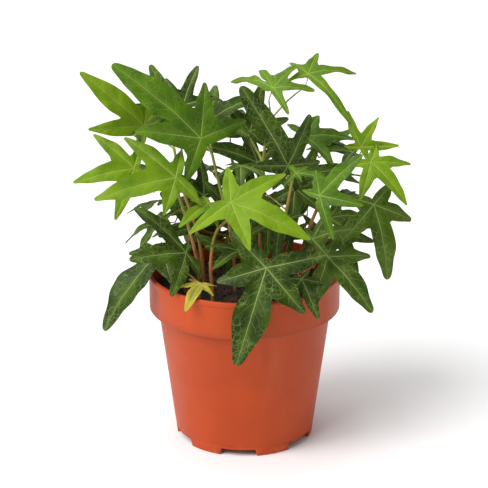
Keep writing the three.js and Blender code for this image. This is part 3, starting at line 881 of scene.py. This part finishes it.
@dataclass
class Leaf:
    """One ivy leaf: a thin lobed blade with quilted skin, waved margins and a stalk joint beneath."""

    name: str
    survey: BladeSurvey
    age: LeafAge
    material: bpy.types.Material
    node: str | None = None
    stations: int = 34
    sinus_station: int = 10
    tip_stations: int = 5
    rows: int = 7
    thickness: float = 0.36 * MM
    margin_thickness: float = 0.16 * MM
    quilt: float = 0.22 * MM
    wave: float = 0.55 * MM
    wave_length: float = 13 * MM
    fold: float = 0.1
    crease: float = 0.25 * MM
    rib_spacing: float = 5.2 * MM
    joint_radius: float = 0.8 * MM
    joint_drop: float = 1.5 * MM

    def __post_init__(self) -> None:
        """Fits the blade's springy sheet and draws this leaf's own small differences."""
        self.sheet = SmoothHeight(self.survey.landmarks)
        self.dice = random.Random(zlib.crc32(self.name.encode()))
        self.tone = self.dice.uniform(0.15, 0.85)
        self.phase = self.dice.uniform(0, FULL_TURN)

    def margin(self, lobe: Lobe, half: HalfLobe) -> np.ndarray:
        """Points down one side of a lobe: out to the sinus, round it, over the shoulder and round the tip."""
        reach = float(np.linalg.norm(lobe.tip))
        vein = lobe.tip / reach
        out = half.hand * np.array([-vein[1], vein[0]])
        radial = half.sinus / np.linalg.norm(half.sinus)
        inward = -half.hand * np.array([-radial[1], radial[0]])
        shoulder = half.shoulder
        blunt = self.age.bluntness * reach
        lean = math.radians(16)
        arrive = vein * math.cos(lean) - out * math.sin(lean)
        near_tip = lobe.tip - 1.7 * blunt * vein + blunt * out
        first = float(np.linalg.norm(shoulder - half.sinus))
        second = float(np.linalg.norm(near_tip - shoulder))
        spoke = self.even(self.sinus_station, from_zero=True)[:, None] * half.sinus
        steps = self.stations - self.sinus_station - self.tip_stations
        near = min(steps - 3, max(3, round(steps * first / (first + second))))
        lower = bend(
            half.sinus,
            half.sinus + 0.14 * first * inward + 0.2 * first * radial,
            shoulder - 0.42 * first * vein + 0.02 * first * out,
            shoulder,
            self.even(near),
        )
        upper = bend(
            shoulder,
            shoulder + 0.36 * second * (vein - 0.08 * out),
            near_tip - 0.36 * second * arrive,
            near_tip,
            self.even(steps - near),
        )
        cap = bend(near_tip, near_tip + 0.8 * blunt * arrive, lobe.tip + 0.62 * blunt * out, lobe.tip,
                   self.even(self.tip_stations))
        return np.vstack([spoke, lower, upper, cap])

    @staticmethod
    def even(count: int, from_zero: bool = False) -> np.ndarray:
        """Count even shares up to one, with zero in front where it is asked for."""
        return np.arange(0 if from_zero else 1, count + 1) / count

    def vein_line(self, lobe: Lobe, bow: float) -> np.ndarray:
        """Points along a lobe's main vein, with a slight bow."""
        reach = float(np.linalg.norm(lobe.tip))
        vein = lobe.tip / reach
        base = min(0.5, 0.85 * float(np.mean([half.sinus @ vein for half in lobe.halves])) / reach)
        base = max(base, 0.12)
        first = self.even(self.sinus_station, from_zero=True) * base
        steps = self.stations - self.sinus_station - self.tip_stations
        neck = 1 - 1.7 * self.age.bluntness
        rest = base + self.even(steps) * (neck - base)
        cap = neck + np.sin(self.even(self.tip_stations) * math.pi / 2) * (1 - neck)
        shares = np.r_[first, rest, cap]
        sideways = np.array([-vein[1], vein[0]])
        return shares[:, None] * lobe.tip + (bow * reach * np.sin(math.pi * shares))[:, None] * sideways

    def add_half(self, bm: bmesh.types.BMesh, lobe: Lobe, half: HalfLobe, line: np.ndarray) -> None:
        """Lays one grid between a lobe's vein and one of its margins, with its charts."""
        made = bmesh.ops.create_grid(bm, x_segments=self.stations, y_segments=self.rows, size=1.0)["verts"]
        veins = bm.loops.layers.uv["veins"]
        lobes = bm.loops.layers.uv["lobes"]
        station = np.array([round((vert.co.x + 1) / 2 * self.stations) for vert in made])
        spread = np.array([(vert.co.y + 1) / 2 for vert in made])
        edge = self.margin(lobe, half)
        flat = line[station] * (1 - spread[:, None]) + edge[station] * spread[:, None]
        reach = float(np.linalg.norm(lobe.tip))
        vein = lobe.tip / reach
        along = flat @ vein
        out = flat @ np.array([-vein[1], vein[0]])
        past_sinus = np.clip((station - self.sinus_station) / (self.stations - self.sinus_station), 0, 1)
        lift = self.sheet(flat)
        rib = (along - 1.05 * np.abs(out)) / self.rib_spacing + 0.25 * half.hand
        crest = 0.5 - 0.5 * np.cos(FULL_TURN * rib)
        belly = np.sin(math.pi * np.clip(along / reach, 0, 1))
        lift += self.quilt * np.sin(math.pi * spread) * (0.5 + crest) * belly
        roll = np.sin(FULL_TURN * along / self.wave_length + self.phase + half.hand)
        lift += self.wave * roll * spread**2 * np.sin(math.pi * past_sinus)
        lift += self.fold * np.abs(out) * belly
        lift -= self.crease * np.exp(-np.abs(out) / (1.1 * MM)) * np.clip(along / (4 * MM), 0, 1)
        survey = self.survey
        for vert, (u, v), w in zip(made, flat, lift):
            vert.co = survey.joint + survey.along * u + survey.side * v + survey.up * w
        order = {vert: i for i, vert in enumerate(made)}
        for face in {face for vert in made for face in vert.link_faces}:
            face.smooth = True
            for loop in face.loops:
                i = order[loop.vert]
                loop[veins].uv = (along[i], out[i])
                loop[lobes].uv = (along[i] / reach, spread[i])

    def thicken(self, bm: bmesh.types.BMesh) -> None:
        """Gives the sheet its underside, thinner towards the margins."""
        under = bm.verts.layers.float["underside"]
        bmesh.ops.recalc_face_normals(bm, faces=bm.faces[:])
        if sum(face.normal.dot(self.survey.up) for face in bm.faces) < 0:
            bmesh.ops.reverse_faces(bm, faces=bm.faces[:])
        bm.normal_update()
        drops = {}
        for vert in bm.verts:
            depth = self.margin_thickness if vert.is_boundary else self.thickness
            drops[tuple(vert.co)] = vert.normal * depth
        margin = [edge for edge in bm.edges if edge.is_boundary]
        grown = bmesh.ops.extrude_face_region(bm, geom=bm.faces[:], use_keep_orig=True)["geom"]
        for item in grown:
            if isinstance(item, bmesh.types.BMVert):
                item[under] = 1.0
                item.co -= drops[tuple(item.co)]
        for edge in margin:
            edge.smooth = False
        bmesh.ops.recalc_face_normals(bm, faces=bm.faces[:])

    def add_joint(self, bm: bmesh.types.BMesh) -> None:
        """Adds the short swelling that joins the blade to its stalk."""
        survey = self.survey
        foot = survey.joint - survey.up * self.joint_drop * 1.3 - survey.along * self.joint_drop * 0.9
        head = survey.joint - survey.up * 0.1 * MM
        axis = head - foot
        turn = axis.to_track_quat("Z", "Y").to_matrix().to_4x4()
        place = Matrix.Translation((foot + head) / 2) @ turn
        made = bmesh.ops.create_cone(
            bm, cap_ends=True, segments=12, radius1=self.joint_radius, radius2=self.joint_radius * 0.55,
            depth=axis.length, matrix=place,
        )
        under = bm.verts.layers.float["underside"]
        for vert in made["verts"]:
            vert[under] = 1.0
        for face in {face for vert in made["verts"] for face in vert.link_faces}:
            face.smooth = True

    def build(self) -> bpy.types.Object:
        """Makes the leaf's piece."""
        bm = bmesh.new()
        bm.loops.layers.uv.new("veins")
        bm.loops.layers.uv.new("lobes")
        under = bm.verts.layers.float.new("underside")
        tone = bm.verts.layers.float.new("tone")
        for lobe in self.survey.lobes:
            line = self.vein_line(lobe, self.dice.uniform(-0.025, 0.025))
            for half in lobe.halves:
                self.add_half(bm, lobe, half, line)
        bmesh.ops.remove_doubles(bm, verts=bm.verts[:], dist=WELD)
        for vert in bm.verts:
            vert[under] = 0.0
        self.thicken(bm)
        self.add_joint(bm)
        for vert in bm.verts:
            vert[tone] = self.tone
        return finish_piece(self.name, bm, self.material, self.node)


@dataclass(frozen=True)
class InnerLeaf:
    """A shaded leaf inside the crown, in millimetres from the middle of the rim, with its stalk's start."""

    like: str
    root: tuple[float, float, float]
    joint: tuple[float, float, float]
    tip: tuple[float, float, float]
    faces: tuple[float, float, float]
    age: LeafAge = LeafAge.MATURE


INNER_LEAVES = [
    InnerLeaf("leaf_centre_left_2", (20, -7, 20), (13, -1, 35), (12, -12, 12), (0, -0.9, 0.4)),
    InnerLeaf("leaf_centre_left_2", (9, 8, 24), (2, 15, 34), (-17, 17, 50), (0.1, -0.8, 0.5)),
    InnerLeaf("leaf_centre_left_2", (10, 10, 56), (3, 27, 70), (10, 33, 96), (0, -0.8, 0.5)),
    InnerLeaf("leaf_centre_left_2", (29, 25, 30), (32, 17, 47), (58, 19, 52), (0, -0.7, 0.7)),
    InnerLeaf("leaf_centre_left_2", (36, -21, 8), (50, -13, 25), (60, -23, 4), (0.2, -0.8, 0.5)),
    InnerLeaf("leaf_centre_left_2", (-2, 27, 14), (-5, 8, 28), (-22, 6, 48), (0, -0.8, 0.5)),
    InnerLeaf("leaf_centre_left_2", (-30, 24, 14), (-22, 18, 36), (-46, 18, 50), (0, -0.8, 0.6)),
    InnerLeaf("leaf_front_right_5", (-5, -2, 2), (-9, -4, 10), (-26, -6, 22), (0, -0.95, 0.3)),
    InnerLeaf("leaf_centre_left_2", (-2, 27, 6), (-26, 13, 20), (-46, 18, 38), (0, -0.8, 0.5)),
    InnerLeaf("leaf_centre_left_2", (21, 21, 8), (40, 4, 20), (30, -8, 0), (0.1, -0.8, 0.5)),
    InnerLeaf("leaf_centre_left_2", (9, 8, 20), (27, 6, 44), (25, -3, 20), (0, -0.9, 0.4)),
    InnerLeaf("leaf_centre_left_2", (-1, 26, 4), (6, 18, 14), (-14, 20, 30), (0, -0.9, 0.4)),
    InnerLeaf("leaf_centre_left_2", (21, 21, 4), (26, 20, 14), (8, 22, 26), (0, -0.9, 0.4)),
    InnerLeaf("leaf_centre_left_2", (-24, 20, 2), (-16, 22, 10), (-34, 24, 24), (0, -0.9, 0.4)),
]


@dataclass
class InnerCrown:
    """The shaded inner leaves, with one piece for all their stalks."""

    rim: float
    skins: dict[LeafAge, bpy.types.Material]
    bark: bpy.types.Material
    radius: float = 0.75 * MM
    seat: float = 1.4 * MM
    below: float = 6.0 * MM
    behind: float = 7.0 * MM
    sides: int = 10
    steps: int = 18

    def place(self, spot: tuple[float, float, float]) -> Vector:
        """A plan's place in metres from the middle of the foot."""
        return Vector(spot) * MM + Vector((0, 0, self.rim))

    def sweep(self, bm: bmesh.types.BMesh, path: list[Vector]) -> None:
        """Draws a round stalk along path, with closed ends."""
        heading = (path[1] - path[0]).normalized()
        turn = heading.to_track_quat("Z", "Y").to_matrix().to_4x4()
        ring = bmesh.ops.create_circle(
            bm, cap_ends=True, radius=self.radius, segments=self.sides,
            matrix=Matrix.Translation(path[0]) @ turn,
        )["verts"]
        edges = list({edge for vert in ring for edge in vert.link_edges})
        for here, there in zip(path, path[1:]):
            grown = bmesh.ops.extrude_edge_only(bm, edges=edges)["geom"]
            verts = [item for item in grown if isinstance(item, bmesh.types.BMVert)]
            edges = [item for item in grown if isinstance(item, bmesh.types.BMEdge)]
            ahead = (there - here).normalized()
            lean = heading.rotation_difference(ahead).to_matrix().to_4x4()
            step = Matrix.Translation(there) @ lean @ Matrix.Translation(-here)
            bmesh.ops.transform(bm, matrix=step, verts=verts)
            heading = ahead
        bmesh.ops.contextual_create(bm, geom=edges)

    def stalk_path(self, root: Vector, survey: BladeSurvey) -> list[Vector]:
        """The bent line from a vine to a blade's joint."""
        end = survey.joint - survey.up * self.seat
        approach = end - survey.up * self.below - survey.along * self.behind
        shares = np.linspace(0, 1, self.steps)
        rise = root.lerp(end, 0.35) + Vector((0, 0, 3 * MM))
        line = bend(np.array(root), np.array(rise), np.array(approach), np.array(end), shares)
        return [Vector(point) for point in line]

    def build(self) -> None:
        """Makes the leaves and then their stalks."""
        stalks = bmesh.new()
        for number, plan in enumerate(INNER_LEAVES, 1):
            joint, tip = self.place(plan.joint), self.place(plan.tip)
            survey = BladeSurvey(plan.like).moved(joint, tip, Vector(plan.faces))
            Leaf(f"inner_leaf_{number}", survey, plan.age, self.skins[plan.age]).build()
            self.sweep(stalks, self.stalk_path(self.place(plan.root), survey))
        bmesh.ops.recalc_face_normals(stalks, faces=stalks.faces[:])
        for face in stalks.faces:
            face.smooth = True
        finish_piece("inner_stalks", stalks, self.bark)


# ---------------------------------------------------------------- studio


@dataclass
class Studio:
    """A pale floor, soft lights and the camera."""

    floor_half: float = 4.0
    camera_place: tuple[float, float, float] = (-0.0003, -0.989, 0.463)
    camera_pitch: float = math.radians(70.3)
    lens: float = 143.2
    sensor: float = 36.0
    room_glow: float = 0.42
    daylight_strength: float = 2.5
    daylight_spread: float = math.radians(40)

    def lay_floor(self) -> None:
        """Lays the floor, which isn't part of the object."""
        sheet = FinishSheet("studio_floor")
        tone = sheet.mix(sheet.noise(6, 2), shade("fbfbfb"), shade("f7f7f7"))
        sheet.set(Base_Color=tone, Roughness=0.9)
        bm = bmesh.new()
        bmesh.ops.create_grid(bm, x_segments=8, y_segments=8, size=self.floor_half)
        mesh = bpy.data.meshes.new("floor")
        bm.to_mesh(mesh)
        bm.free()
        mesh.materials.append(sheet.material)
        floor = bpy.data.objects.new("floor", mesh)
        bpy.context.scene.collection.objects.link(floor)

    def add_softbox(self, name: str, place: Vector, aim: Vector, size: float, power: float) -> None:
        """Hangs one square soft light at place, turned towards aim."""
        light = bpy.data.lights.new(name, "AREA")
        light.shape = "SQUARE"
        light.size = size
        light.energy = power
        box = bpy.data.objects.new(name, light)
        box.location = place
        box.rotation_euler = (aim - place).to_track_quat("-Z", "Y").to_euler()
        bpy.context.scene.collection.objects.link(box)

    def add_daylight(self, name: str, source: Vector, strength: float, spread: float) -> None:
        """Adds even light from far off in the direction of source, soft by its spread."""
        light = bpy.data.lights.new(name, "SUN")
        light.energy = strength
        light.angle = spread
        window = bpy.data.objects.new(name, light)
        window.rotation_euler = (-source).to_track_quat("-Z", "Y").to_euler()
        bpy.context.scene.collection.objects.link(window)

    def light_room(self) -> None:
        """Sets a pale room and its softboxes."""
        world = bpy.data.worlds.new("pale_room")
        world.use_nodes = True
        air = world.node_tree.nodes["Background"]
        air.inputs["Color"].default_value = (1.0, 1.0, 1.0, 1.0)
        air.inputs["Strength"].default_value = self.room_glow
        bpy.context.scene.world = world
        source = Vector((-0.62, -0.5, 0.95))
        self.add_daylight("key_daylight", source, self.daylight_strength, self.daylight_spread)
        aim = Vector((0, 0, 0.14))
        self.add_softbox("side_softbox", Vector((-1.1, -0.5, 0.75)), aim, 0.6, 4)
        self.add_softbox("top_softbox", Vector((-0.1, 0.35, 1.3)), aim, 0.9, 5)

    def set_camera(self) -> None:
        """Stands the camera in front of the plant, looking down on it a little."""
        lens = bpy.data.cameras.new("camera")
        lens.lens = self.lens
        lens.sensor_width = self.sensor
        lens.clip_start = 0.05
        lens.clip_end = 20
        camera = bpy.data.objects.new("camera", lens)
        camera.location = self.camera_place
        camera.rotation_euler = (self.camera_pitch, 0, 0)
        bpy.context.scene.collection.objects.link(camera)
        bpy.context.scene.camera = camera

    def build(self) -> None:
        """Makes the whole studio."""
        self.lay_floor()
        self.light_room()
        self.set_camera()
        bpy.context.scene.view_settings.view_transform = "Standard"


def leaf_ages() -> dict[str, LeafAge]:
    """Which age of leaf each CAD leaf node is, from the record's slots."""
    slots = {part["node"]: part["material_slot"] for part in frame["record"]["subparts"]}
    return {node: LeafAge(slot) for node, slot in slots.items() if node.startswith("leaf_")}


def main() -> None:
    """Builds the studio, the pot, the soil, the vines and the leaves, in that order."""
    logging.basicConfig(level=logging.INFO, format="%(name)s: %(message)s")
    Studio().build()
    pot = Pot()
    pot.build()
    soil = Soil()
    soil.build()
    bark = VineBark().material(soil.top, CAD_BOX[1][2])
    for node in sorted(name for name in frame["nodes"] if name.startswith("vine_")):
        Vine(node, bark).build()
    skins = {age: BLADE_FINISHES[age].material(age.value) for age in LeafAge}
    for node, age in sorted(leaf_ages().items()):
        Leaf(f"{node}_blade", BladeSurvey(node), age, skins[age], node).build()
    InnerCrown(pot.rim, skins, bark).build()
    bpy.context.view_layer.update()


if __name__ == "__main__":
    main()
